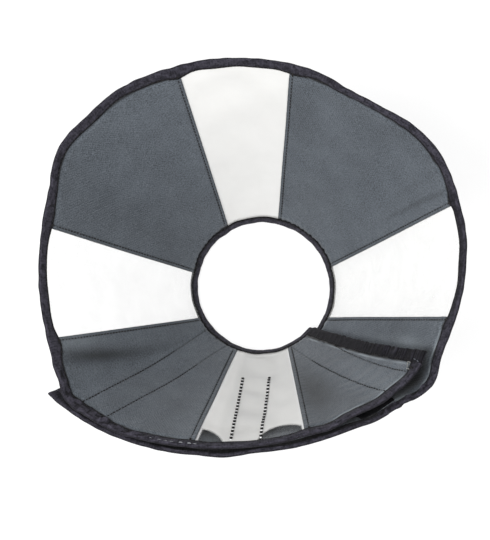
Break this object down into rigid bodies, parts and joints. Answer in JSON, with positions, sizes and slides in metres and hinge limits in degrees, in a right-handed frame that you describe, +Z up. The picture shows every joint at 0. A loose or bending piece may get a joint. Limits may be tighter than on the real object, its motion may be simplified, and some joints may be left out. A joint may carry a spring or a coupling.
{
  "type": "soft recovery cone",
  "caption": "Soft padded recovery cone for a pet's neck: fabric panels and clear film windows rolled into an overlapping cone, bound with tape and closed by fastening strips.",
  "frame": {"origin": "on the surface that the cone stands on, under the middle of its outline seen from above, which lies on the axis of the neck opening to within two millimetres", "axes": "+Z up along the axis of the cone, from the narrow neck edge to the wide mouth; -Y towards the overlap where the cone closes; +X completes the frame, with the inner end of the fan on the +X side of the overlap"},
  "size_m": [0.3445, 0.3236, 0.2221],
  "materials": {
    "nylon": "padded slate grey woven nylon",
    "film": "clear soft film, slightly milky",
    "tape": "charcoal ribbed binding tape",
    "strip": "black hook and loop tape"
  },
  "bodies": {
    "root": {"front_flap_panel": "nylon", "lower_left_panel": "nylon", "upper_left_panel": "nylon", "upper_right_panel": "nylon", "outer_flap_panel": "nylon", "bottom_window": "film", "left_window": "film", "top_window": "film", "right_window": "film", "rim_binding": "tape", "neck_binding": "tape", "inner_end_binding": "tape", "outer_end_binding": "tape", "loop_strip_1": "strip", "loop_strip_2": "strip", "loop_strip_3": "strip", "hook_strip": "strip"}
  },
  "joints": []
}
